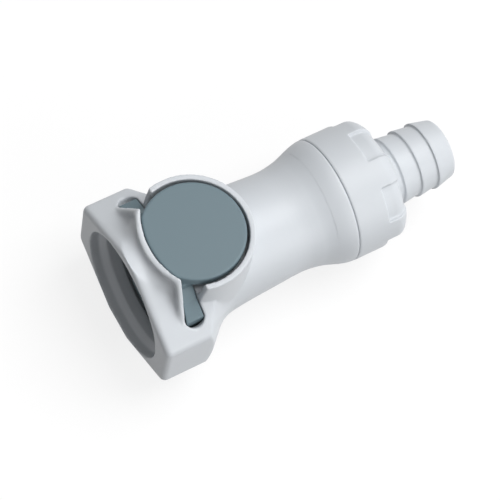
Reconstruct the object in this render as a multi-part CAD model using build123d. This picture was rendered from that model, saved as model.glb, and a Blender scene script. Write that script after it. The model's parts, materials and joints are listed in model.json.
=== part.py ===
"""Valved in-line coupling body with a round thumb latch and a hose barb.

Millimetres.  The flow axis is X: the mouth face is at x = 0 and the hose barb points to +X.
+Z is up, through the middle of the thumb latch.
"""
import os
from math import cos, radians, sin, sqrt, tan

from build123d import *

# ---- housing: mouth flange -------------------------------------------------------------
FACET_DISTANCE = 15.0       # slanted facets, from the flow axis
FACET_ANGLE = 60.0          # facet normals, from the Y axis
SIDE_HALF_WIDTH = 18.1      # flat sides
FOOT_HEIGHT = 15.0          # flat foot under the flange, from the flow axis
CORNER_ROUND = 2.0
FRONT_ROUND = 1.2
RIM_RADIUS = 16.2           # round top of the front rim
BACK_CONE_SUM = 29.1        # 45 degree back: x + radius of the cone
BACK_CONE_END = 14.4        # where the back runs into the neck

# ---- housing: neck ---------------------------------------------------------------------
SEAM_X = 47.35              # joint between the housing and the barb cap
NECK_PROFILE = [(14.1, 15.0), (15.6, 13.7), (17.6, 12.65), (20.5, 12.1), (25.0, 11.7), (30.0, 11.4),
                (35.5, 11.08), (39.2, 11.38), (43.4, 12.65), (SEAM_X, 13.5)]
SEAM_CHAMFER = 0.2

# ---- housing: bores --------------------------------------------------------------------
MOUTH_RADIUS = 13.7
MOUTH_DEPTH = 2.0
LEAD_IN_END = 3.2
SOCKET_RADIUS = 12.5
NOSE_RADIUS = 9.6           # smooth bore that the insert's own ring seals in
NOSE_END = 17.0
THROAT_RADIUS = 6.8
SEAT_START = 18.5
CHAMBER_RADIUS = 9.3        # round the valve
SPIGOT_SEAT_X = 41.5
SPIGOT_BORE_RADIUS = 11.3

# ---- housing: slot, lip and well for the latch -----------------------------------------
SLOT_FRONT = 5.9
SLOT_REAR = 10.2
SLOT_FLOOR = 8.1            # lowest point of the open ends
POCKET_RADIUS = 14.15       # round pocket that the latch ring slides in
EAR_X, EAR_Y, EAR_Z = 7.3, 8.4, 18.0
EAR_FOOT = 13.0             # the lip is only bowed above this height
LIP_MIDDLE_X = 5.1
LIP_END_X, LIP_END_Y = 6.0, 14.3
LIP_MIDDLE_Z = 17.0
LIP_THICKNESS = 1.0
VALLEY_X, VALLEY_MAJOR, VALLEY_MINOR = 2.4, 18.3, 3.1
FLARE_X, FLARE_FOOT_Z = 11.1, 11.6
BOSS_X, BOSS_RADIUS, BOSS_TOP = 14.4, 12.5, 16.5
WELL_RADIUS, WELL_FLOOR = 11.3, 12.0

# ---- thumb latch -----------------------------------------------------------------------
LATCH_TRAVEL = 2.2
LATCH_GAP = 0.15            # clearance of the plate in its slot, each side
RING_INNER, RING_OUTER = 12.6, 13.9
BUTTON_X, BUTTON_RADIUS = 14.6, 10.55
BUTTON_TOP, BUTTON_THICKNESS = 16.9, 2.3
NOSE_FOOT = 15.35           # underside of the button in front of the plate
BUTTON_EDGE_ROUND = 0.35
SHOULDER_Y, SHOULDER_Z = 8.7, 14.7
WING_Y, WING_FLOOR = 14.2, 6.5
WING_SINK = 0.2             # wings sit this far under the facets

# ---- latch spring ----------------------------------------------------------------------
LATCH_SPRING_X = 17.6
LATCH_COIL, LATCH_WIRE, LATCH_TURNS = 1.9, 0.3, 3.0
LATCH_POCKET_RADIUS, LATCH_POCKET_FLOOR = 2.6, 10.6
LATCH_RECESS_DEPTH = 0.6

# ---- barb cap --------------------------------------------------------------------------
CAP_RADIUS = 13.53
CAP_REAR = 59.8
CAP_ROUND = 3.4
POCKET_FLOOR_RADIUS = 12.7
POCKET_START = 54.4
LUG_COUNT, LUG_WIDTH, LUG_FIRST = 6, 26.0, 17.0
SPIGOT_GAP = 0.1
SPIGOT_BORE = 8.2
GUIDE_SHOULDER_X = 45.2
BARB_ROOT = 6.95
BARB_RADIUS, BARB_WAIST = 7.4, 6.85
BARB_FIRST, BARB_PITCH, BARB_COUNT = 62.1, 4.05, 3
TAIL_RADIUS = 6.4
OVERALL_LENGTH = 74.8
BARB_BORE = 4.9
RING_GROOVE_X, RING_GROOVE_WIDTH, RING_GROOVE_RADIUS = 43.6, 2.1, 9.7

# ---- valve -----------------------------------------------------------------------------
VALVE_TRAVEL = 4.0
POPPET_FACE_X = 17.3
POPPET_GAP = 0.4            # nose in the throat, each side
HEAD_RADIUS, HEAD_REAR = 8.3, 22.0
STEM_RADIUS = 2.0
STEM_GAP = 0.05
STEM_END = 47.0
SEAL_X, SEAL_SECTION = 19.7, 0.7
GUIDE_FRONT = 42.3
HUB_RADIUS = 3.3
VALVE_COIL, VALVE_WIRE, VALVE_TURNS = 4.6, 0.5, 5.0
SEAL_GAP = 0.02


# ---- helpers ---------------------------------------------------------------------------
def turned(points):
    """Solid of revolution about the flow axis from a closed list of (x, radius)."""
    return revolve(make_face(Polyline(*points, close=True)), Axis.X)


def ring_about_x(x, major, minor):
    """Ring of round section about the flow axis."""
    return Pos(x, 0, 0) * Rot(0, 90, 0) * Torus(major, minor)


def bar_x(radius, start, end, z=0.0):
    """Cylinder along X."""
    return Pos((start + end) / 2, 0, z) * Rot(0, 90, 0) * Cylinder(radius, end - start)


def bar_z(radius, low, high, x):
    """Upright cylinder."""
    return Pos(x, 0, (low + high) / 2) * Cylinder(radius, high - low)


def block(x0, x1, y0, y1, z0, z1):
    """Box from its limits."""
    return Pos((x0 + x1) / 2, (y0 + y1) / 2, (z0 + z1) / 2) * Box(x1 - x0, y1 - y0, z1 - z0)


def facet_height(y):
    """Height of the slanted facet at a distance y from the middle."""
    a = radians(FACET_ANGLE)
    return (FACET_DISTANCE - abs(y) * cos(a)) / sin(a)


def coil(radius, wire, length, turns):
    """Helical spring standing on z = 0, with its outside ends at 0 and at the length."""
    path = Helix(pitch=(length - 2 * wire) / turns, height=length - 2 * wire, radius=radius)
    section = Plane(origin=path @ 0, z_dir=path % 0) * Circle(wire)
    return Pos(0, 0, wire) * sweep(section, path=path, is_frenet=True)


# ---- housing ---------------------------------------------------------------------------
def flange():
    """Six-sided flange round the mouth, rounded at the front and coned at the back."""
    corner_z = facet_height(SIDE_HALF_WIDTH)
    foot_y = (FACET_DISTANCE - FOOT_HEIGHT * sin(radians(FACET_ANGLE))) / cos(radians(FACET_ANGLE))
    outline = [(SIDE_HALF_WIDTH, -corner_z), (SIDE_HALF_WIDTH, corner_z), (0, facet_height(0)),
               (-SIDE_HALF_WIDTH, corner_z), (-SIDE_HALF_WIDTH, -corner_z),
               (-foot_y, -FOOT_HEIGHT), (foot_y, -FOOT_HEIGHT)]
    face = make_face(Polyline(*outline, close=True))
    sides = [v for v in face.vertices() if abs(v.X) > SIDE_HALF_WIDTH - 0.1]
    face = fillet(sides, CORNER_ROUND)
    prism = extrude(Plane.YZ * face, BACK_CONE_END)
    prism = fillet(prism.faces().sort_by(Axis.X)[0].edges(), FRONT_ROUND)
    big = BACK_CONE_SUM - 4.0
    back = turned([(-1, 0), (-1, big), (4.0, big), (BACK_CONE_END, BACK_CONE_SUM - BACK_CONE_END),
                   (BACK_CONE_END, 0)])
    prism = prism & back
    # round top of the rim, and the valley between the rim and the lip
    top = block(-1, SLOT_REAR, -7.4, 7.4, 8, 25)
    outside = turned([(-1, RIM_RADIUS), (-1, 25), (SLOT_REAR, 25), (SLOT_REAR, RIM_RADIUS)])
    return prism - (outside & top) - (ring_about_x(VALLEY_X, VALLEY_MAJOR, VALLEY_MINOR) & top)


def neck():
    """Waisted neck behind the flange."""
    outer = Spline(*NECK_PROFILE, tangents=[(1, -1), (1, 0.08)])
    start, end = NECK_PROFILE[0], NECK_PROFILE[-1]
    rest = Polyline(end, (end[0], 0), (start[0] - 4, 0), (start[0] - 4, start[1]), start)
    solid = revolve(make_face([outer, rest]), Axis.X)
    return solid - turned([(SEAM_X - SEAM_CHAMFER, end[1] + 0.01), (SEAM_X + 1, end[1] + 0.01),
                           (SEAM_X + 1, end[1] - SEAM_CHAMFER - 1), (SEAM_X, end[1] - SEAM_CHAMFER)])


def boss():
    """Round upright wall that the button sits in."""
    wall = bar_z(BOSS_RADIUS, 0, BOSS_TOP, BOSS_X)
    return wall & block(SLOT_REAR - 1, BOSS_X + 20, -20, 20, 0, 20)


def slot_front(gap=0.0):
    """Plan of everything behind the lip: its front edge follows the rear of the lip."""
    end_y = LIP_END_Y + 7
    middle = ThreePointArc((EAR_X + gap, -EAR_Y), (LIP_MIDDLE_X + gap, 0), (EAR_X + gap, EAR_Y))
    side = Polyline((EAR_X + gap, EAR_Y), (LIP_END_X + gap, LIP_END_Y), (LIP_END_X + gap, end_y),
                    (40, end_y), (40, -end_y), (LIP_END_X + gap, -end_y), (LIP_END_X + gap, -LIP_END_Y),
                    (EAR_X + gap, -EAR_Y))
    return extrude(Pos(0, 0, -20) * make_face([middle, side]), 45)


def slot_profile(front, rear, floor):
    """Upright slot seen from the side, open at the top, with a round lower end."""
    radius = (rear - front) / 2
    middle = (rear + front) / 2
    return (block(front, rear, -20, 20, floor + radius, 25)
            + Pos(middle, 0, floor + radius) * Rot(90, 0, 0) * Cylinder(radius, 40))


def lip_section(y, foot, crest, crest_z):
    """Section of the lip at y: a hollow flank that rises from its foot to a thin crest."""
    base = 4.0
    foot_z = facet_height(y) - 0.6 if abs(y) > 5 else VALLEY_MAJOR - VALLEY_MINOR - 0.3
    front = crest - LIP_THICKNESS
    flank = Bezier((foot, y, foot_z), (front - 0.25, y, foot_z), (front, y, crest_z))
    rest = Polyline((front, y, crest_z), (crest, y, crest_z), (crest, y, base), (foot, y, base),
                    (foot, y, foot_z))
    return make_face([flank, rest])


def lip():
    """Raised lip in front of the button, with an ear on each side of it."""
    def rear(y):
        return LIP_MIDDLE_X + (EAR_X - LIP_MIDDLE_X) * (abs(y) / EAR_Y) ** 2 + 0.3

    middle = []
    for y in (-EAR_Y, -0.5 * EAR_Y, 0.0, 0.5 * EAR_Y, EAR_Y):
        part = abs(y) / EAR_Y
        foot = 2.3 + 1.9 * part ** 2
        middle.append(lip_section(y, foot, rear(y), LIP_MIDDLE_Z + (EAR_Z - LIP_MIDDLE_Z) * part ** 2))
    solid = loft(middle)
    for side in (-1, 1):
        end = lip_section(side * LIP_END_Y, 5.3, LIP_END_X + 0.3, facet_height(LIP_END_Y) - 0.2)
        solid += loft([lip_section(side * EAR_Y, 4.2, rear(EAR_Y), EAR_Z), end], ruled=True)
    return solid - slot_front() - block(SLOT_FRONT, 30, -20, 20, 0, EAR_FOOT)


def housing_inside():
    """Everything that is hollow along the flow axis."""
    cone = CHAMBER_RADIUS - THROAT_RADIUS
    return turned([(-1, 0), (-1, MOUTH_RADIUS), (MOUTH_DEPTH, MOUTH_RADIUS), (LEAD_IN_END, SOCKET_RADIUS),
                   (SLOT_REAR, SOCKET_RADIUS), (SLOT_REAR, NOSE_RADIUS), (NOSE_END, NOSE_RADIUS),
                   (NOSE_END, THROAT_RADIUS), (SEAT_START, THROAT_RADIUS),
                   (SEAT_START + cone, CHAMBER_RADIUS), (SPIGOT_SEAT_X, CHAMBER_RADIUS),
                   (SPIGOT_SEAT_X, SPIGOT_BORE_RADIUS), (SEAM_X + 1, SPIGOT_BORE_RADIUS), (SEAM_X + 1, 0)])


def latch_space():
    """Slot, round pocket and well that the latch moves in."""
    slot = slot_profile(SLOT_FRONT, SLOT_REAR, SLOT_FLOOR)
    slot += block(SLOT_FRONT, SLOT_REAR, -POCKET_RADIUS, POCKET_RADIUS, 0, LATCH_TRAVEL)
    for height in (0, LATCH_TRAVEL):
        slot += bar_x(POCKET_RADIUS, SLOT_FRONT, SLOT_REAR, height)
    side = WING_Y + LATCH_GAP
    slot += block(SLOT_FRONT, SLOT_REAR, -side, side, WING_FLOOR - LATCH_TRAVEL - LATCH_GAP, SLOT_FLOOR + 2)
    bowed = slot_front() + block(SLOT_FRONT, 40, -30, 30, -30, EAR_FOOT)
    nose = slot_front() & block(LIP_MIDDLE_X - 1, SLOT_FRONT + 1, -EAR_Y, EAR_Y, EAR_FOOT, 25)
    flare = extrude(Plane.XZ * make_face(Polyline(
        (SLOT_REAR - 1, FLARE_FOOT_Z), (SLOT_REAR, FLARE_FOOT_Z), (FLARE_X, BOSS_TOP),
        (FLARE_X + 0.3, BOSS_TOP + 1), (SLOT_REAR - 1, BOSS_TOP + 1), close=True)), 20, both=True)
    well = bar_z(WELL_RADIUS, WELL_FLOOR, 25, BOSS_X) & block(SLOT_REAR - 1, 40, -20, 20, 0, 30)
    pocket = bar_z(LATCH_POCKET_RADIUS, LATCH_POCKET_FLOOR, 25, LATCH_SPRING_X)
    return (slot & bowed) + nose + flare + well + pocket


def body_housing():
    """Main moulding: flange, neck, boss and lip, with its bores."""
    outside = flange() + neck() + boss()
    return (outside - latch_space()) + (lip() - block(-5, 30, -20, 20, -20, 6)) - housing_inside()


# ---- thumb latch -----------------------------------------------------------------------
def thumb_latch():
    """Button, plate with its wings, and the ring that holds the insert."""
    front, rear = SLOT_FRONT + LATCH_GAP, SLOT_REAR - LATCH_GAP
    ring = bar_x(RING_OUTER, front, rear, LATCH_TRAVEL)
    root_z, tip_z = (facet_height(y) - WING_SINK for y in (SHOULDER_Y, WING_Y))
    half = [(SHOULDER_Y, SHOULDER_Z), (SHOULDER_Y, root_z), (WING_Y, tip_z), (WING_Y, WING_FLOOR)]
    face = make_face(Polyline(*half, *[(-y, z) for y, z in reversed(half)], close=True))
    face = fillet([v for v in face.vertices() if abs(v.X) > WING_Y - 0.1], 0.6)
    wings = extrude(Plane.YZ * face, rear) & block(front, rear, -20, 20, 0, 20)
    button = bar_z(BUTTON_RADIUS, BUTTON_TOP - BUTTON_THICKNESS, BUTTON_TOP, BUTTON_X)
    button &= slot_front(LATCH_GAP)
    button -= block(0, front, -20, 20, 0, NOSE_FOOT)
    button = fillet(button.faces().sort_by(Axis.Z)[-1].edges(), BUTTON_EDGE_ROUND)
    plate = (ring + wings) & slot_front(LATCH_GAP)
    hole = bar_x(RING_INNER, 0, rear + 0.01, LATCH_TRAVEL)
    low = BUTTON_TOP - BUTTON_THICKNESS
    recess = bar_z(LATCH_POCKET_RADIUS, low - 1, low + LATCH_RECESS_DEPTH, LATCH_SPRING_X)
    return plate + button - hole - recess


def latch_spring():
    """Small spring that lifts the latch."""
    top = BUTTON_TOP - BUTTON_THICKNESS + LATCH_RECESS_DEPTH
    return Pos(LATCH_SPRING_X, 0, LATCH_POCKET_FLOOR) * coil(
        LATCH_COIL, LATCH_WIRE, top - LATCH_POCKET_FLOOR, LATCH_TURNS)


# ---- barb cap --------------------------------------------------------------------------
def barb_profile():
    """Outside of the hose barb, from the cap's back to its tip."""
    points = [(CAP_REAR - 1, BARB_ROOT), (BARB_FIRST, BARB_ROOT)]
    for i in range(BARB_COUNT):
        x = BARB_FIRST + i * BARB_PITCH
        last = i == BARB_COUNT - 1
        points.append((x, BARB_RADIUS))
        points.append((OVERALL_LENGTH - 0.4, TAIL_RADIUS) if last else (x + BARB_PITCH, BARB_WAIST))
    return points + [(OVERALL_LENGTH, TAIL_RADIUS - 0.4), (OVERALL_LENGTH, 0), (CAP_REAR - 1, 0)]


def drum(radius, start, rear, rounding):
    """Turned drum with a rounded back edge."""
    solid = turned([(start, 0), (start, radius), (rear, radius), (rear, 0)])
    return fillet(solid.faces().sort_by(Axis.X)[-1].edges(), rounding)


def lug_sectors():
    """Wedges that keep the cap's full radius between the pockets."""
    reach, half = 30.0, radians(LUG_WIDTH / 2)
    wedge = extrude(Plane.YZ.offset(POCKET_START - 1) * make_face(Polyline(
        (0, 0), (reach, reach * tan(half)), (reach, -reach * tan(half)), close=True)), 10)
    return [Rot(90 + LUG_FIRST + i * 360 / LUG_COUNT, 0, 0) * wedge for i in range(LUG_COUNT)]


def barb_cap():
    """Rear cap: spigot, grip lugs and hose barb in one moulding."""
    lug_ring = drum(CAP_RADIUS, POCKET_START - 0.5, CAP_REAR, CAP_ROUND)
    cap = turned([(SEAM_X, 0), (SEAM_X, CAP_RADIUS - SEAM_CHAMFER), (SEAM_X + SEAM_CHAMFER, CAP_RADIUS),
                  (POCKET_START, CAP_RADIUS), (POCKET_START, 0)])
    cap += drum(POCKET_FLOOR_RADIUS, POCKET_START - 1, CAP_REAR - 0.3, CAP_ROUND - 0.6)
    for sector in lug_sectors():
        cap += lug_ring & sector
    cap += turned(barb_profile())
    spigot = SPIGOT_BORE_RADIUS - SPIGOT_GAP
    groove = RING_GROOVE_X + RING_GROOVE_WIDTH
    cap += turned([(SPIGOT_SEAT_X + 0.3, 0), (SPIGOT_SEAT_X + 0.3, spigot - 0.4),
                   (SPIGOT_SEAT_X + 0.7, spigot), (RING_GROOVE_X, spigot),
                   (RING_GROOVE_X, RING_GROOVE_RADIUS), (groove, RING_GROOVE_RADIUS), (groove, spigot),
                   (SEAM_X + 1, spigot), (SEAM_X + 1, 0)])
    inside = turned([(SPIGOT_SEAT_X - 1, 0), (SPIGOT_SEAT_X - 1, SPIGOT_BORE),
                     (GUIDE_SHOULDER_X, SPIGOT_BORE), (GUIDE_SHOULDER_X, SPIGOT_BORE - 1.0),
                     (SEAM_X + 3.5, SPIGOT_BORE - 1.0), (SEAM_X + 9, BARB_BORE),
                     (OVERALL_LENGTH + 1, BARB_BORE), (OVERALL_LENGTH + 1, 0)])
    return cap - inside


def cap_o_ring():
    """Ring that seals the cap's spigot in the housing."""
    section = (SPIGOT_BORE_RADIUS - RING_GROOVE_RADIUS) / 2 - SEAL_GAP
    middle = (SPIGOT_BORE_RADIUS + RING_GROOVE_RADIUS) / 2
    return ring_about_x(RING_GROOVE_X + RING_GROOVE_WIDTH / 2, middle, section)


# ---- valve -----------------------------------------------------------------------------
def seal_radius():
    """Middle radius of the valve's ring, which touches the seat cone."""
    seat = THROAT_RADIUS + SEAL_X - SEAT_START
    return seat - (SEAL_SECTION + SEAL_GAP) * sqrt(2)


def valve_poppet():
    """Spring-loaded poppet that closes the throat."""
    nose = THROAT_RADIUS - POPPET_GAP
    head = turned([(POPPET_FACE_X, 0), (POPPET_FACE_X, nose - 0.3), (POPPET_FACE_X + 0.3, nose),
                   (SEAT_START, nose), (SEAT_START + HEAD_RADIUS - nose, HEAD_RADIUS),
                   (HEAD_REAR, HEAD_RADIUS), (HEAD_REAR, STEM_RADIUS), (STEM_END - 0.5, STEM_RADIUS),
                   (STEM_END, STEM_RADIUS - 0.5), (STEM_END, 0)])
    return head - ring_about_x(SEAL_X, seal_radius(), SEAL_SECTION + SEAL_GAP)


def poppet_o_ring():
    """Ring on the poppet's cone."""
    return ring_about_x(SEAL_X, seal_radius(), SEAL_SECTION)


def poppet_guide():
    """Three-armed guide in the spigot, which carries the stem and the spring."""
    outer, inner = SPIGOT_BORE - SEAL_GAP, SPIGOT_BORE - 1.3
    hub = bar_x(HUB_RADIUS, GUIDE_FRONT, GUIDE_SHOULDER_X)
    guide = bar_x(outer, GUIDE_FRONT, GUIDE_SHOULDER_X) - bar_x(inner, GUIDE_FRONT, GUIDE_SHOULDER_X)
    guide += hub
    for i in range(3):
        arm = block(GUIDE_FRONT, GUIDE_SHOULDER_X, -0.9, 0.9, 1.0, inner + 0.5)
        guide += Rot(i * 120, 0, 0) * arm
    return guide - bar_x(STEM_RADIUS + STEM_GAP, GUIDE_FRONT - 1, GUIDE_SHOULDER_X + 1)


def valve_spring():
    """Spring between the poppet's head and its guide."""
    return Pos(HEAD_REAR, 0, 0) * Rot(0, 90, 0) * coil(
        VALVE_COIL, VALVE_WIRE, GUIDE_FRONT - HEAD_REAR, VALVE_TURNS)


PARTS = {
    "body_housing": body_housing,
    "thumb_latch": thumb_latch,
    "latch_spring": latch_spring,
    "barb_cap": barb_cap,
    "cap_o_ring": cap_o_ring,
    "valve_poppet": valve_poppet,
    "poppet_o_ring": poppet_o_ring,
    "poppet_guide": poppet_guide,
    "valve_spring": valve_spring,
}

if __name__ == "__main__":
    os.makedirs("parts", exist_ok=True)
    for node, make in PARTS.items():
        export_step(make(), "parts/" + node + ".step")
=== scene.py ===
"""Look of the valved coupling body: soft moulded plastic, wire springs, floor, light and camera.

Sizes of the pieces are in millimetres along the frame's axes, and become metres where a mesh is
made.  The flow axis is X with the mouth at x = 0, and +Z points up through the latch's button.
"""
from __future__ import annotations

import json
import logging
from dataclasses import dataclass
from enum import Enum
from math import cos, hypot, pi, radians, sin, tau

import bmesh
import bpy
from mathutils import Matrix, Vector

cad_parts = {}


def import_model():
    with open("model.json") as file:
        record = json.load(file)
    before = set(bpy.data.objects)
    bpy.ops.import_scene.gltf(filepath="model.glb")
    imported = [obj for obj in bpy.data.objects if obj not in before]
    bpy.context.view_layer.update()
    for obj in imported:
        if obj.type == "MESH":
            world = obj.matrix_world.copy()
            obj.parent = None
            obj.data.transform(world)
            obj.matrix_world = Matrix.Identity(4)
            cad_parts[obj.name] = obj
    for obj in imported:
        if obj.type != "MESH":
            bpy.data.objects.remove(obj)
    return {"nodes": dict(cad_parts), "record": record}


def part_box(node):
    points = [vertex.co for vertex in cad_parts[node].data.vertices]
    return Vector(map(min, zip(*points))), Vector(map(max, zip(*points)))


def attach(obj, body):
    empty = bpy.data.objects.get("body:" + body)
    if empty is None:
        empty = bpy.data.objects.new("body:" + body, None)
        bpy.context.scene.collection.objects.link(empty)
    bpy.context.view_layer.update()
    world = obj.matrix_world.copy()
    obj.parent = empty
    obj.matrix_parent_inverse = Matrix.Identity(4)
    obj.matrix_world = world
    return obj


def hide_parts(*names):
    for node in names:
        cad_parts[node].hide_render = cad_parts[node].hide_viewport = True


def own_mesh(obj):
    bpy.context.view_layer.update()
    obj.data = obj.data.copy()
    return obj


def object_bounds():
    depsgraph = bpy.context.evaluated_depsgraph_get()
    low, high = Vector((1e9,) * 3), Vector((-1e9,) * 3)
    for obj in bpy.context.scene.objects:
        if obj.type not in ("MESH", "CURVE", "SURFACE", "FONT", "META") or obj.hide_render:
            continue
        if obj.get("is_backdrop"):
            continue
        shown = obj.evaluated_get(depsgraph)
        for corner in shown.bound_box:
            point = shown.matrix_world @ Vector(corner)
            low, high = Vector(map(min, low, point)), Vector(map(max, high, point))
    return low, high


log = logging.getLogger("coupling")
MM = 0.001
FAR = 1000.0                # past anything on the object
WELD_DISTANCE = 0.002
SMOOTH_FACTOR = 0.5
SCATTER_LENGTH = 1.0
GRAIN_HEIGHT = 0.02
GRAIN_DETAIL = 2.0
MOTTLE_SCALE = 180.0        # of the broad change of colour, per metre
COIL_POINTS = 40            # on each turn of a spring
WIRE_SIDES = 14


class Slot(Enum):
    """Material slots of the record."""

    BODY = "body_plastic"
    LATCH = "latch_plastic"
    VALVE = "valve_plastic"
    STEEL = "spring_steel"
    RUBBER = "seal_rubber"


Materials = dict[Slot, bpy.types.Material]


# ---- materials -------------------------------------------------------------------------
@dataclass(frozen=True)
class Finish:
    """A surface: base colour (linear), how it reflects, and its fine grain."""

    slot: Slot
    colour: tuple[float, float, float]
    roughness: float
    metallic: float = 0.0
    specular: float = 0.5
    subsurface: float = 0.0
    grain_scale: float = 9000.0
    grain_depth: float = 0.012
    mottle: float = 0.02

    def material(self, group: bpy.types.ShaderNodeTree) -> bpy.types.Material:
        """Makes the material of this finish.

        Args:
            group: the shared grain group.

        Returns:
            The material.
        """
        made = bpy.data.materials.new(self.slot.value)
        made.use_nodes = True
        nodes, links = made.node_tree.nodes, made.node_tree.links
        shader = first_of(nodes, "BSDF_PRINCIPLED")
        shader.inputs["Roughness"].default_value = self.roughness
        shader.inputs["Metallic"].default_value = self.metallic
        shader.inputs["Specular IOR Level"].default_value = self.specular
        if self.subsurface:
            shader.inputs["Subsurface Weight"].default_value = self.subsurface
            shader.inputs["Subsurface Radius"].default_value = (1.0, 1.0, 1.0)
            shader.inputs["Subsurface Scale"].default_value = SCATTER_LENGTH * MM
        surface = nodes.new("ShaderNodeGroup")
        surface.node_tree = group
        surface.inputs["Colour"].default_value = (*self.colour, 1.0)
        surface.inputs["Grain scale"].default_value = self.grain_scale
        surface.inputs["Grain depth"].default_value = self.grain_depth
        surface.inputs["Mottle"].default_value = self.mottle
        links.new(surface.outputs["Colour"], shader.inputs["Base Color"])
        links.new(surface.outputs["Normal"], shader.inputs["Normal"])
        made.diffuse_color = (*self.colour, 1.0)
        return made


FINISHES = (
    Finish(Slot.BODY, (0.51, 0.535, 0.563), 0.42, specular=0.38, subsurface=0.06),
    Finish(Slot.LATCH, (0.122, 0.172, 0.196), 0.46, specular=0.30, grain_depth=0.02),
    Finish(Slot.VALVE, (0.62, 0.62, 0.60), 0.40),
    Finish(Slot.STEEL, (0.55, 0.55, 0.54), 0.28, metallic=1.0, grain_depth=0.005),
    Finish(Slot.RUBBER, (0.012, 0.012, 0.013), 0.55, specular=0.35),
)

NODE_SLOTS = {
    "body_housing": Slot.BODY,
    "barb_cap": Slot.BODY,
    "thumb_latch": Slot.LATCH,
    "valve_poppet": Slot.VALVE,
    "poppet_guide": Slot.VALVE,
    "cap_o_ring": Slot.RUBBER,
    "poppet_o_ring": Slot.RUBBER,
    "latch_spring": Slot.STEEL,
    "valve_spring": Slot.STEEL,
}


# ---- helpers ---------------------------------------------------------------------------
def first_of(nodes: bpy.types.Nodes, kind: str) -> bpy.types.Node:
    """Finds the first node of a kind."""
    return next(n for n in nodes if n.type == kind)


def linked(obj: bpy.types.Object) -> bpy.types.Object:
    """Puts an object in the scene and gives it back."""
    bpy.context.scene.collection.objects.link(obj)
    return obj


def moulded_group() -> bpy.types.ShaderNodeTree:
    """Builds the shared node group that gives a moulded surface its grain and mottle.

    Returns:
        The group, with a colour and a normal as outputs.
    """
    group = bpy.data.node_groups.new("moulded_surface", "ShaderNodeTree")
    face = group.interface
    face.new_socket("Colour", in_out="INPUT", socket_type="NodeSocketColor")
    for name in ("Grain scale", "Grain depth", "Mottle"):
        face.new_socket(name, in_out="INPUT", socket_type="NodeSocketFloat")
    face.new_socket("Colour", in_out="OUTPUT", socket_type="NodeSocketColor")
    face.new_socket("Normal", in_out="OUTPUT", socket_type="NodeSocketVector")

    nodes, links = group.nodes, group.links
    given, out = nodes.new("NodeGroupInput"), nodes.new("NodeGroupOutput")
    place = nodes.new("ShaderNodeTexCoord")
    grain, broad = nodes.new("ShaderNodeTexNoise"), nodes.new("ShaderNodeTexNoise")
    grain.inputs["Detail"].default_value = GRAIN_DETAIL
    broad.inputs["Scale"].default_value = MOTTLE_SCALE
    for noise in (grain, broad):
        links.new(place.outputs["Object"], noise.inputs["Vector"])
    links.new(given.outputs["Grain scale"], grain.inputs["Scale"])

    bump = nodes.new("ShaderNodeBump")
    bump.inputs["Distance"].default_value = GRAIN_HEIGHT * MM
    links.new(given.outputs["Grain depth"], bump.inputs["Strength"])
    links.new(grain.outputs[0], bump.inputs["Height"])
    links.new(bump.outputs["Normal"], out.inputs["Normal"])

    centred, amount, gain = (nodes.new("ShaderNodeMath") for _ in range(3))
    centred.operation, amount.operation, gain.operation = "SUBTRACT", "MULTIPLY", "ADD"
    centred.inputs[1].default_value = 0.5
    gain.inputs[1].default_value = 1.0
    links.new(broad.outputs[0], centred.inputs[0])
    links.new(centred.outputs[0], amount.inputs[0])
    links.new(given.outputs["Mottle"], amount.inputs[1])
    links.new(amount.outputs[0], gain.inputs[0])
    tint = nodes.new("ShaderNodeVectorMath")
    tint.operation = "SCALE"
    links.new(given.outputs["Colour"], tint.inputs[0])
    links.new(gain.outputs[0], tint.inputs["Scale"])
    links.new(tint.outputs[0], out.inputs["Colour"])
    return group


def paint(obj: bpy.types.Object, made: bpy.types.Material) -> None:
    """Gives an object one material and nothing else."""
    obj.data.materials.clear()
    obj.data.materials.append(made)


def baked(obj: bpy.types.Object, name: str) -> bpy.types.Mesh:
    """Turns what an object's modifiers make into a plain mesh.

    Args:
        obj: the object, whose modifiers are removed afterwards.
        name: name of the new mesh.

    Returns:
        The mesh.
    """
    graph = bpy.context.evaluated_depsgraph_get()
    mesh = bpy.data.meshes.new_from_object(obj.evaluated_get(graph), depsgraph=graph)
    mesh.name = name
    obj.modifiers.clear()
    return mesh


def inside_box(mesh: bpy.types.Mesh, low: Vector, high: Vector) -> None:
    """Keeps every vertex within a box.

    Args:
        mesh: the mesh, whose vertices are moved.
        low: the box's low corner, in metres.
        high: its high corner.
    """
    for vertex in mesh.vertices:
        vertex.co = Vector(min(max(c, a), b) for c, a, b in zip(vertex.co, low, high))


# ---- mouldings -------------------------------------------------------------------------
@dataclass(frozen=True)
class Zone:
    """Part of the housing's surface that is softened more than the rest.

    It lies between two places along the flow axis, two distances from the middle plane and two
    heights, and outside a radius about the flow axis.  Where the gaps are given, it also ends that
    far before the lip's rear, and starts that far above the slanted facets.
    """

    name: str
    passes: int
    x: tuple[float, float]
    y: tuple[float, float] = (0.0, FAR)
    z: tuple[float, float] = (-FAR, FAR)
    radius: float = 0.0
    lip_gap: float = -FAR
    facet_gap: float = -FAR


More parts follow.
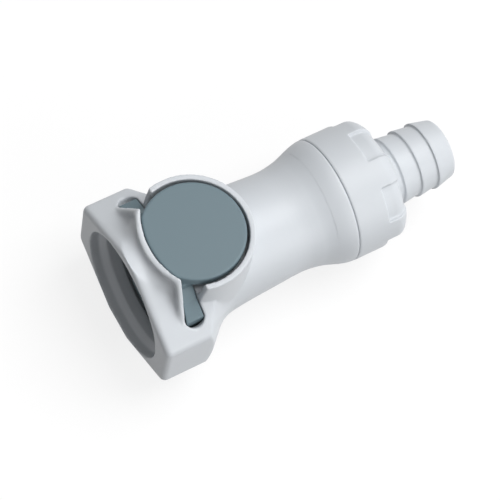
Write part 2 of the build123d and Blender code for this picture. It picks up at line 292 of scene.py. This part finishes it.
@dataclass
class Moulding:
    """A plastic piece with soft edges, made from its sharp CAD piece; sizes in millimetres."""

    node: str
    slot: Slot
    voxel: float
    passes: int
    keep: float

    def prepare(self, obj: bpy.types.Object) -> None:
        """Adds or cuts what the voxels then merge; a plain moulding needs nothing."""

    def soften_zones(self, obj: bpy.types.Object) -> None:
        """Softens some zones more than the rest; a plain moulding has none."""

    def fair(self, mesh: bpy.types.Mesh) -> None:
        """Corrects the finished surface; a plain moulding needs nothing."""

    def build(self, source: bpy.types.Object) -> bpy.types.Object:
        """Makes the soft-edged copy.

        Args:
            source: the CAD piece.

        Returns:
            The new piece.
        """
        name = self.node + "_moulded"
        obj = linked(bpy.data.objects.new(name, source.data.copy()))
        weld = obj.modifiers.new("weld", "WELD")
        weld.merge_threshold = WELD_DISTANCE * MM
        obj.data = baked(obj, name)
        self.prepare(obj)
        voxels = obj.modifiers.new("voxels", "REMESH")
        voxels.mode = "VOXEL"
        voxels.voxel_size = self.voxel * MM
        obj.data = baked(obj, name)
        self.soften_zones(obj)
        self.smooth(obj, self.passes)
        thin = obj.modifiers.new("thin", "DECIMATE")
        thin.ratio = self.keep
        mesh = baked(obj, name)
        obj.vertex_groups.clear()
        obj.data = mesh
        mesh.polygons.foreach_set("use_smooth", [True] * len(mesh.polygons))
        self.fair(mesh)
        inside_box(mesh, *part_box(self.node))
        log.info("%s: %d faces", name, len(mesh.polygons))
        return obj

    @staticmethod
    def smooth(obj: bpy.types.Object, passes: int) -> bpy.types.Modifier:
        """Adds a smoothing.

        Args:
            obj: the piece.
            passes: how many times it is smoothed.

        Returns:
            The modifier.
        """
        made = obj.modifiers.new("smooth", "SMOOTH")
        made.factor = SMOOTH_FACTOR
        made.iterations = passes
        return made

    def dress(self, obj: bpy.types.Object, body: str, made: Materials) -> None:
        """Gives the piece its finish and its body, in place of the CAD piece.

        Args:
            obj: the piece.
            body: the body that it rides on.
            made: the materials by slot.
        """
        paint(obj, made[self.slot])
        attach(obj, body)
        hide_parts(self.node)


@dataclass
class Housing(Moulding):
    """The main moulding: flange, bowed lip with two ears, slot, boss and neck.

    Each row of `ear_lump` is one section through the lump under an ear: its distance from the
    middle plane, the front and rear of the section, and its low and high edge.
    """

    lip_x: float = 5.1
    lip_z: float = 17.0
    ear: tuple[float, float, float] = (7.3, 8.4, 18.0)
    ear_end: tuple[float, float, float] = (6.0, 14.3, 8.86)
    bead: float = 0.72
    bead_reach: float = 7.6                 # from the middle plane, along the bowed crest
    bead_steps: int = 10
    ear_steps: float = 9.5                  # along an ear, so that the last is short of its tip
    ear_lead: float = 0.03
    ear_lump: tuple[tuple[float, float, float, float, float], ...] = (
        (5.6, 5.0, 5.95, 11.9, 13.1),
        (8.4, 5.2, 7.28, 10.3, 13.1),
        (11.4, 5.5, 6.62, 9.5, 13.0),
        (14.0, 5.6, 6.05, 8.6, 9.2),
    )
    facet: float = 15.0                     # from the flow axis to each slanted facet
    facet_turn: float = 60.0                # degrees from the middle plane to a facet
    slot_x: tuple[float, float] = (5.9, 10.2)
    pit_y: float = 13.75
    pit_depth: float = 3.2
    pit_inset: float = 0.05
    pit_sides: int = 64
    neck_start: tuple[float, float] = (41.0, 11.76)
    neck_end: tuple[float, float] = (47.0, 13.47)
    neck_slopes: tuple[float, float] = (0.27, 0.07)
    neck_wall: float = 0.7
    zones: tuple[Zone, ...] = (
        Zone("flank", 110, x=(1.3, FAR), y=(0.0, 14.5), z=(8.5, FAR), radius=14.2, lip_gap=1.25),
        Zone("ears", 30, x=(4.6, FAR), y=(5.6, 14.2), lip_gap=-0.12, facet_gap=0.3),
        Zone("rim", 30, x=(0.6, 1.31), y=(0.0, 12.0), z=(10.0, FAR), radius=14.4),
        Zone("back", 30, x=(10.9, 18.0), z=(-FAR, 9.0), radius=12.0),
    )

    @property
    def bow(self) -> float:
        """Radius of the lip's bow in plan."""
        sag = self.ear[0] - self.lip_x
        return (self.ear[1] ** 2 + sag ** 2) / (2 * sag)

    def rear(self, y: float) -> float:
        """Finds the rear of the lip, which is bowed between its ears and straight beyond.

        Args:
            y: distance from the middle plane.

        Returns:
            The place of the rear along the flow axis.
        """
        beyond = max(abs(y) - self.ear[1], 0.0)
        inner = min(abs(y), self.ear[1])
        slope = (self.ear[0] - self.ear_end[0]) / (self.ear_end[1] - self.ear[1])
        return self.lip_x + self.bow - (self.bow ** 2 - inner ** 2) ** 0.5 - slope * beyond

    def facet_height(self, y: float) -> float:
        """Height of the slanted facets at a distance y from the middle plane."""
        turn = radians(self.facet_turn)
        return (self.facet - abs(y) * cos(turn)) / sin(turn)

    def holds(self, zone: Zone, place: Vector) -> bool:
        """Says whether a place lies in a zone.

        Args:
            zone: the zone.
            place: the place, in metres.

        Returns:
            True if it does.
        """
        x, y, z = (c / MM for c in place)
        return (zone.x[0] < x < min(zone.x[1], self.rear(y) - zone.lip_gap)
                and zone.y[0] <= abs(y) < zone.y[1]
                and max(zone.z[0], self.facet_height(y) + zone.facet_gap) < z < zone.z[1]
                and hypot(y, z) > zone.radius)

    def soften_zones(self, obj: bpy.types.Object) -> None:
        """Softens the hollow before the lip, its ears, the rim and the back of the flange.

        Args:
            obj: the piece, which gets one group of vertices and one smoothing for each zone.
        """
        for zone in self.zones:
            group = obj.vertex_groups.new(name=zone.name)
            held = [v.index for v in obj.data.vertices if self.holds(zone, v.co)]
            group.add(held, 1.0, "REPLACE")
            self.smooth(obj, zone.passes).vertex_group = zone.name

    def lip_bead(self) -> list[Vector]:
        """Draws the middle line of the round bead along the lip's crest.

        Returns:
            Its points, from one ear's foot to the other.
        """
        half = []
        out = (self.bow + self.bead) / self.bow
        for step in range(self.bead_steps + 1):
            y = self.bead_reach * step / self.bead_steps
            x = self.lip_x + self.bow - out * (self.bow ** 2 - y ** 2) ** 0.5
            rise = (self.ear[2] - self.lip_z) * (y / self.ear[1]) ** 2
            half.append(Vector((x, y * out, self.lip_z + rise - self.bead)))
        top, end = Vector(self.ear), Vector(self.ear_end)
        along = (end - top).normalized()
        front = Vector((top.y - end.y, end.x - top.x, 0.0)).normalized()
        inward = front.cross(along)
        for step in range(1, self.bead_steps):
            part = step / self.ear_steps + self.ear_lead
            half.append(top.lerp(end, part) + self.bead * (front + inward))
        mirror = [Vector((p.x, -p.y, p.z)) for p in reversed(half[1:])]
        return mirror + half

    def prepare(self, obj: bpy.types.Object) -> None:
        """Rounds the lip's crest, fills the foot of its ears and deepens the slot's open ends.

        Args:
            obj: the piece, still sharp.
        """
        work = bmesh.new()
        work.from_mesh(obj.data)
        line = self.lip_bead()
        for a, b in zip(line, line[1:]):
            add_hull(work, ball(a, self.bead) + ball(b, self.bead))
        for side in (-1, 1):
            add_hull(work, self.ear_foot(side))
        work.to_mesh(obj.data)
        work.free()
        for side in (-1, 1):
            self.cut_pit(obj, side)

    def ear_foot(self, side: int) -> list[Vector]:
        """Lists the corners of the lump that carries one ear of the lip.

        Args:
            side: -1 or 1.

        Returns:
            The corners.
        """
        return [Vector((x, side * y, z)) for y, front, rear, low, high in self.ear_lump
                for x in (front, rear) for z in (low, high)]

    def cut_pit(self, obj: bpy.types.Object, side: int) -> None:
        """Sinks the round end of the slot square into the slanted facet.

        Args:
            obj: the piece.
            side: -1 or 1.
        """
        turn = radians(self.facet_turn)
        out = Vector((0.0, side * cos(turn), sin(turn)))
        radius = (self.slot_x[1] - self.slot_x[0]) / 2 - self.pit_inset
        middle = Vector((sum(self.slot_x) / 2, side * self.pit_y, self.facet_height(self.pit_y)))
        work = bmesh.new()
        bmesh.ops.create_cone(work, cap_ends=True, segments=self.pit_sides, radius1=radius,
                              radius2=radius, depth=2 * self.pit_depth)
        mesh = bpy.data.meshes.new("pit")
        work.to_mesh(mesh)
        work.free()
        turned = out.to_track_quat("Z", "X").to_matrix().to_4x4()
        mesh.transform(Matrix.Translation(middle) @ turned)
        mesh.transform(Matrix.Scale(MM, 4))
        cutter = linked(bpy.data.objects.new("pit", mesh))
        cut = obj.modifiers.new("pit", "BOOLEAN")
        cut.operation, cut.solver, cut.object, cut.use_self = "DIFFERENCE", "EXACT", cutter, True
        obj.data = baked(obj, obj.name)
        bpy.data.objects.remove(cutter)
        bpy.data.meshes.remove(mesh)

    def neck_radius(self, x: float) -> float:
        """Finds the radius of the neck's flare, one smooth cubic curve up to the seam.

        Args:
            x: place along the flow axis.

        Returns:
            The radius there.
        """
        (x0, r0), (x1, r1) = self.neck_start, self.neck_end
        t = (x - x0) / (x1 - x0)
        return ((2 * t ** 3 - 3 * t ** 2 + 1) * r0 + (3 * t ** 2 - 2 * t ** 3) * r1
                + (x1 - x0) * ((t ** 3 - 2 * t ** 2 + t) * self.neck_slopes[0]
                               + (t ** 3 - t ** 2) * self.neck_slopes[1]))

    def fair(self, mesh: bpy.types.Mesh) -> None:
        """Moves the outside of the neck's flare onto its curve.

        Args:
            mesh: the softened mesh.
        """
        for vertex in mesh.vertices:
            x, y, z = (c / MM for c in vertex.co)
            if self.neck_start[0] < x < self.neck_end[0]:
                radius = self.neck_radius(x)
                if hypot(y, z) > radius - self.neck_wall:
                    scale = radius / hypot(y, z)
                    vertex.co.y *= scale
                    vertex.co.z *= scale


def ball(middle: Vector, radius: float, rings: int = 8, turns: int = 16) -> list[Vector]:
    """Spreads points over a sphere.

    Args:
        middle: centre of the sphere.
        radius: its radius.
        rings: steps from one pole to the other.
        turns: points on each ring.

    Returns:
        The points.
    """
    points = [middle + Vector((0.0, 0.0, side * radius)) for side in (-1, 1)]
    for ring in range(1, rings):
        tilt = pi * ring / rings
        for step in range(turns):
            turn = tau * step / turns
            away = Vector((sin(tilt) * cos(turn), sin(tilt) * sin(turn), cos(tilt)))
            points.append(middle + radius * away)
    return points


def add_hull(work: bmesh.types.BMesh, points: list[Vector]) -> None:
    """Adds the closed hull of some points to a mesh, which the voxels then merge with it.

    Args:
        work: the mesh to add to, in metres.
        points: the points, in millimetres.
    """
    made = bmesh.ops.convex_hull(work, input=[work.verts.new(p * MM) for p in points])
    spare = [v for v in made["geom_interior"] if isinstance(v, bmesh.types.BMVert)]
    bmesh.ops.delete(work, geom=spare, context="VERTS")


# ---- springs ---------------------------------------------------------------------------
@dataclass
class WireSpring:
    """A helical wire spring made at one fixed length, with the joint and travel that it belongs
    to.
    """

    node: str
    joint: str
    start: tuple[float, float, float]
    axis: tuple[float, float, float]
    length: float
    coil: float
    wire: float
    turns: float
    travel: float
    fixed_at_end: bool
    end_room: float = 1.04      # from an end of the spring to its wire's middle, in wire radii

    @staticmethod
    def tree(steel: bpy.types.Material) -> tuple[bpy.types.GeometryNodeTree, dict[str, str]]:
        """Builds the Geometry Nodes tree of a helical wire spring.

        Args:
            steel: material of the wire.

        Returns:
            The tree, and its inputs' identifiers by name.
        """
        tree = bpy.data.node_groups.new("wire_spring", "GeometryNodeTree")
        tree.interface.new_socket("Geometry", in_out="OUTPUT", socket_type="NodeSocketGeometry")
        ids = {}
        for name in ("Coil radius", "Wire radius", "Height", "Turns"):
            ids[name] = tree.interface.new_socket(
                name, in_out="INPUT", socket_type="NodeSocketFloat").identifier
        nodes, links = tree.nodes, tree.links
        given, out = nodes.new("NodeGroupInput"), nodes.new("NodeGroupOutput")
        helix = nodes.new("GeometryNodeCurveSpiral")
        wire = nodes.new("GeometryNodeCurvePrimitiveCircle")
        helix.inputs["Resolution"].default_value = COIL_POINTS
        wire.inputs["Resolution"].default_value = WIRE_SIDES
        for end in ("Start Radius", "End Radius"):
            links.new(given.outputs["Coil radius"], helix.inputs[end])
        links.new(given.outputs["Height"], helix.inputs["Height"])
        links.new(given.outputs["Turns"], helix.inputs["Rotations"])
        links.new(given.outputs["Wire radius"], wire.inputs["Radius"])
        sweep = nodes.new("GeometryNodeCurveToMesh")
        sweep.inputs["Fill Caps"].default_value = True
        realize = nodes.new("GeometryNodeRealizeInstances")
        dress = nodes.new("GeometryNodeSetMaterial")
        dress.inputs["Material"].default_value = steel
        links.new(helix.outputs["Curve"], sweep.inputs["Curve"])
        links.new(wire.outputs["Curve"], sweep.inputs["Profile Curve"])
        links.new(sweep.outputs["Mesh"], realize.inputs["Geometry"])
        links.new(realize.outputs["Geometry"], dress.inputs["Geometry"])
        links.new(dress.outputs["Geometry"], out.inputs["Geometry"])
        return tree, ids

    def build(self, tree: bpy.types.GeometryNodeTree, ids: dict[str, str]) -> bpy.types.Object:
        """Makes the wire, in its place.

        Args:
            tree: the spring tree.
            ids: identifiers of the tree's inputs.

        Returns:
            The spring.
        """
        obj = linked(bpy.data.objects.new(self.node + "_wire", bpy.data.meshes.new("empty")))
        modifier = obj.modifiers.new("spring", "NODES")
        modifier.node_group = tree
        edge = self.end_room * self.wire
        sizes = {"Coil radius": self.coil, "Wire radius": self.wire,
                 "Height": self.length - 2 * edge}
        for name, value in sizes.items():
            modifier[ids[name]] = value * MM
        modifier[ids["Turns"]] = self.turns
        mesh = baked(obj, obj.name)
        axis = Vector(self.axis)
        turn = Vector((0, 0, 1)).rotation_difference(axis).to_matrix().to_4x4()
        mesh.transform(Matrix.Translation((Vector(self.start) + axis * edge) * MM) @ turn)
        inside_box(mesh, *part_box(self.node))
        mesh.polygons.foreach_set("use_smooth", [True] * len(mesh.polygons))
        obj.data = mesh
        log.info("%s: %d faces", obj.name, len(mesh.polygons))
        return obj

    def dress(self, obj: bpy.types.Object, made: Materials) -> None:
        """Gives the spring its steel, its place on the housing, and its own copy of the mesh.

        Args:
            obj: the spring.
            made: the materials by slot.
        """
        paint(obj, made[Slot.STEEL])
        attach(obj, "housing")
        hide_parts(self.node)
        still = Vector(self.start)
        if self.fixed_at_end:
            still += Vector(self.axis) * self.length
        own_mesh(obj)


MOULDINGS = (
    Housing("body_housing", Slot.BODY, voxel=0.22, passes=6, keep=0.36),
    Moulding("barb_cap", Slot.BODY, voxel=0.20, passes=2, keep=0.5),
    Moulding("thumb_latch", Slot.LATCH, voxel=0.16, passes=2, keep=0.5),
)
SPRINGS = (
    WireSpring("latch_spring", "latch_press", start=(17.6, 0, 10.6), axis=(0, 0, 1), length=4.6,
               coil=1.9, wire=0.3, turns=3.0, travel=2.2, fixed_at_end=False),
    WireSpring("valve_spring", "valve_open", start=(22.0, 0, 0), axis=(1, 0, 0), length=20.3,
               coil=4.6, wire=0.5, turns=5.0, travel=4.0, fixed_at_end=True),
)


# ---- stage -----------------------------------------------------------------------------
@dataclass(frozen=True)
class Lamp:
    """A soft square light: place in metres, edge length and power."""

    name: str
    place: tuple[float, float, float]
    size: float
    watts: float

    def add(self, aim: Vector) -> None:
        """Adds the light.

        Args:
            aim: the place that it points at, in metres.
        """
        data = bpy.data.lights.new(self.name, "AREA")
        data.size, data.energy = self.size, self.watts
        lamp = bpy.data.objects.new(self.name, data)
        lamp.location = self.place
        lamp.rotation_euler = (aim - Vector(self.place)).to_track_quat("-Z", "Y").to_euler()
        linked(lamp)


@dataclass(frozen=True)
class Studio:
    """Pale floor, soft light that is brighter from the barb's side, and the camera; in metres."""

    bright_side: tuple[float, float, float] = (0.80, -0.04, 0.60)
    dim: float = 0.09                       # strength of the sky away from its bright side
    bright: float = 0.78
    dark_slope: float = -0.5                # where it is dimmest, as a share of the bright side
    floor_size: float = 6.0
    floor_roughness: float = 0.9
    floor_grey: float = 0.38                # what the floor reflects onto the object
    floor_pale: float = 0.90                # how it is seen
    floor_glow: float = 0.80
    lamps: tuple[Lamp, ...] = (Lamp("key", (0.40, -0.04, 0.80), 0.6, 6.0),
                               Lamp("side", (0.22, -0.65, 0.28), 0.5, 2.2))
    camera_mm: tuple[float, float, float] = (-112.6, -153.1, 439.0)
    camera_right: tuple[float, float, float] = (0.8673, -0.4850, 0.1114)
    camera_up: tuple[float, float, float] = (0.4044, 0.8176, 0.4094)
    lens: float = 172.8
    clip: tuple[float, float] = (0.01, 20.0)

    @staticmethod
    def seen(nodes: bpy.types.Nodes, links: bpy.types.NodeLinks,
             share: float) -> bpy.types.NodeSocket:
        """Makes a value that is only above zero for what is seen, directly or in gloss or glass.

        Args:
            nodes: the nodes to add to.
            links: their links.
            share: the value for what is seen.

        Returns:
            The socket with the value.
        """
        path = nodes.new("ShaderNodeLightPath")
        value = path.outputs["Is Camera Ray"]
        for other in ("Is Glossy Ray", "Is Transmission Ray"):
            either = nodes.new("ShaderNodeMath")
            either.operation = "MAXIMUM"
            links.new(value, either.inputs[0])
            links.new(path.outputs[other], either.inputs[1])
            value = either.outputs[0]
        scaled = nodes.new("ShaderNodeMath")
        scaled.operation = "MULTIPLY"
        scaled.inputs[1].default_value = share
        links.new(value, scaled.inputs[0])
        return scaled.outputs[0]

    def add_floor(self, level: float) -> None:
        """Lays the floor, which is not part of the object.

        Args:
            level: its height.
        """
        bpy.ops.mesh.primitive_plane_add(size=self.floor_size, location=(0, 0, level))
        floor = bpy.context.active_object
        floor.name = "floor"
        made = bpy.data.materials.new("floor")
        made.use_nodes = True
        nodes, links = made.node_tree.nodes, made.node_tree.links
        shader, out = first_of(nodes, "BSDF_PRINCIPLED"), first_of(nodes, "OUTPUT_MATERIAL")
        tone = nodes.new("ShaderNodeMath")
        tone.operation = "ADD"
        tone.inputs[1].default_value = self.floor_grey
        links.new(self.seen(nodes, links, self.floor_pale - self.floor_grey), tone.inputs[0])
        links.new(tone.outputs[0], shader.inputs["Base Color"])
        shader.inputs["Roughness"].default_value = self.floor_roughness
        glow, mix = nodes.new("ShaderNodeEmission"), nodes.new("ShaderNodeMixShader")
        links.new(self.seen(nodes, links, self.floor_glow), mix.inputs[0])
        links.new(shader.outputs[0], mix.inputs[1])
        links.new(glow.outputs[0], mix.inputs[2])
        links.new(mix.outputs[0], out.inputs["Surface"])
        paint(floor, made)
        floor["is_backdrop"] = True

    def add_light(self, aim: Vector) -> None:
        """Adds the sky, whose strength changes with its direction, and the lamps.

        Args:
            aim: the place that the lamps point at.
        """
        world = bpy.data.worlds.new("studio")
        bpy.context.scene.world = world
        world.use_nodes = True
        nodes, links = world.node_tree.nodes, world.node_tree.links
        sky = first_of(nodes, "BACKGROUND")
        sky.inputs["Color"].default_value = (1.0, 1.0, 1.0, 1.0)
        place, slope, level, shown = (nodes.new(kind) for kind in (
            "ShaderNodeTexCoord", "ShaderNodeVectorMath", "ShaderNodeMapRange", "ShaderNodeMath"))
        slope.operation, shown.operation = "DOT_PRODUCT", "MAXIMUM"
        slope.inputs[1].default_value = self.bright_side
        level.inputs["From Min"].default_value = self.dark_slope
        level.inputs["To Min"].default_value = self.dim
        level.inputs["To Max"].default_value = self.bright
        links.new(place.outputs["Generated"], slope.inputs[0])
        links.new(slope.outputs["Value"], level.inputs["Value"])
        links.new(level.outputs["Result"], shown.inputs[0])
        links.new(self.seen(nodes, links, 1.0), shown.inputs[1])
        links.new(shown.outputs[0], sky.inputs["Strength"])
        for lamp in self.lamps:
            lamp.add(aim)

    def add_camera(self) -> None:
        """Adds the camera and makes it the scene's own."""
        data = bpy.data.cameras.new("camera")
        data.lens = self.lens
        data.clip_start, data.clip_end = self.clip
        camera = bpy.data.objects.new("camera", data)
        right = Vector(self.camera_right).normalized()
        back = right.cross(Vector(self.camera_up)).normalized()
        matrix = Matrix((right, back.cross(right), back)).transposed().to_4x4()
        matrix.translation = Vector(self.camera_mm) * MM
        camera.matrix_world = matrix
        bpy.context.scene.camera = linked(camera)


def main() -> None:
    logging.basicConfig(level=logging.INFO, format="%(name)s: %(message)s")
    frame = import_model()
    cad_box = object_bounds()
    body_of = {n: b for b, ns in frame["record"]["behaviour"]["bodies"].items() for n in ns}

    group = moulded_group()
    made = {finish.slot: finish.material(group) for finish in FINISHES}
    for node, slot in NODE_SLOTS.items():
        paint(frame["nodes"][node], made[slot])
    for piece in MOULDINGS:
        piece.dress(piece.build(frame["nodes"][piece.node]), body_of[piece.node], made)
    tree, ids = WireSpring.tree(made[Slot.STEEL])
    for spring in SPRINGS:
        spring.dress(spring.build(tree, ids), made)

    low, high = cad_box
    studio = Studio()
    studio.add_floor(low.z)
    studio.add_light((low + high) / 2)
    studio.add_camera()
    bpy.context.scene.view_settings.view_transform = "Standard"


if __name__ == "__main__":
    main()
